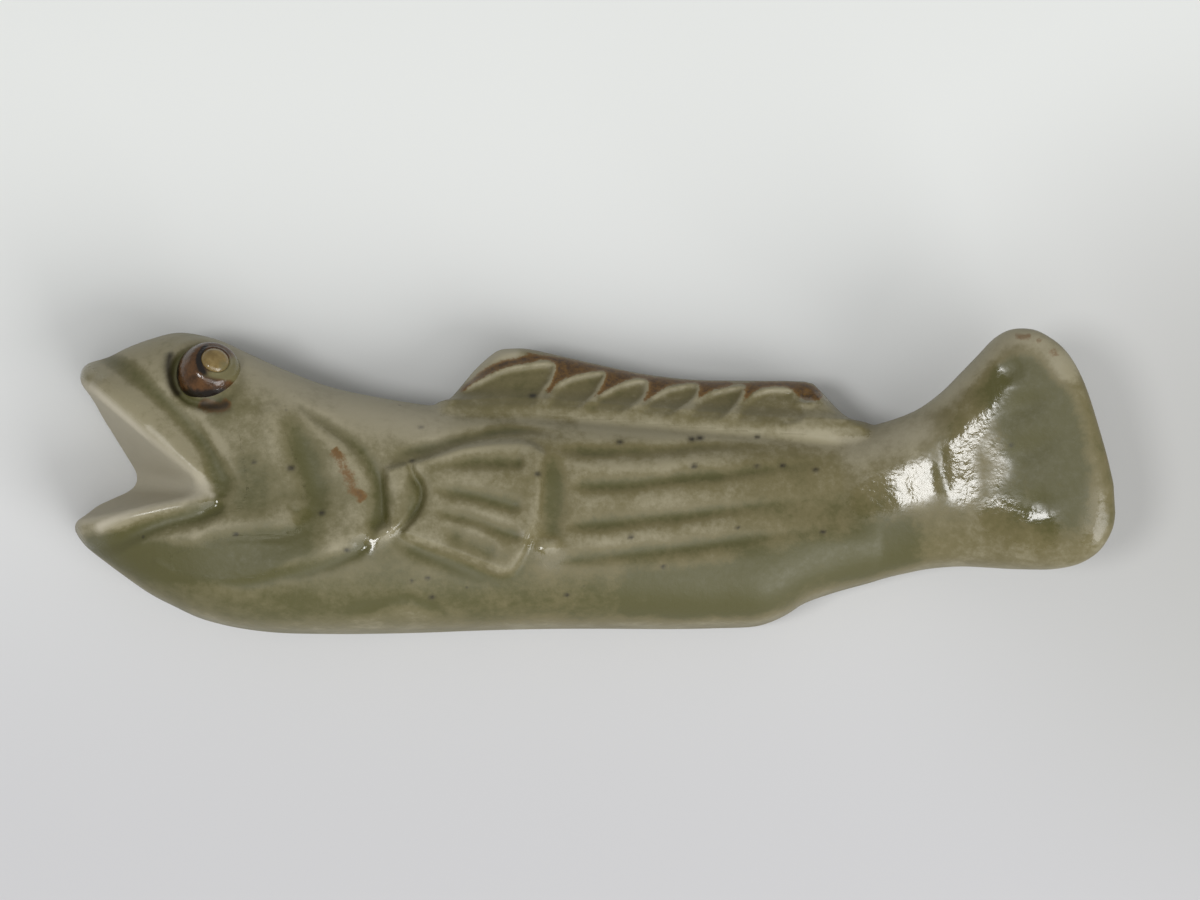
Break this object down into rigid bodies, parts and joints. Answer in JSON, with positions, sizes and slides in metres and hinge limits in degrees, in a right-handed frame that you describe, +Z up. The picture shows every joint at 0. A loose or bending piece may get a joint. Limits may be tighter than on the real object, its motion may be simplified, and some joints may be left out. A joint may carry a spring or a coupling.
{
  "type": "chopstick rest",
  "caption": "Glazed ceramic fish lying on its side with an open mouth, a fan-shaped side fin and a raised tail, for chopsticks to lie across.",
  "frame": {"origin": "centre of the bounding box's bottom, on the table that the flat underside lies on", "axes": "+X from the head to the tail, +Y towards the back fin, +Z up"},
  "size_m": [0.075, 0.022, 0.0136],
  "materials": {
    "celadon_glaze": "satin to glossy, beige where thin and olive where it pools",
    "iron_brushed_glaze": "celadon glaze with a brushed iron-brown edge",
    "eye_glaze": "glossy dark brown",
    "ochre_glaze": "glossy ochre"
  },
  "bodies": {
    "root": {"fish_body": "celadon_glaze", "cheek_plate": "celadon_glaze", "gill_cover": "celadon_glaze", "fin_root": "celadon_glaze", "pectoral_fin": "celadon_glaze", "dorsal_fin": "iron_brushed_glaze", "eyeball": "eye_glaze", "pupil": "ochre_glaze"}
  },
  "joints": []
}
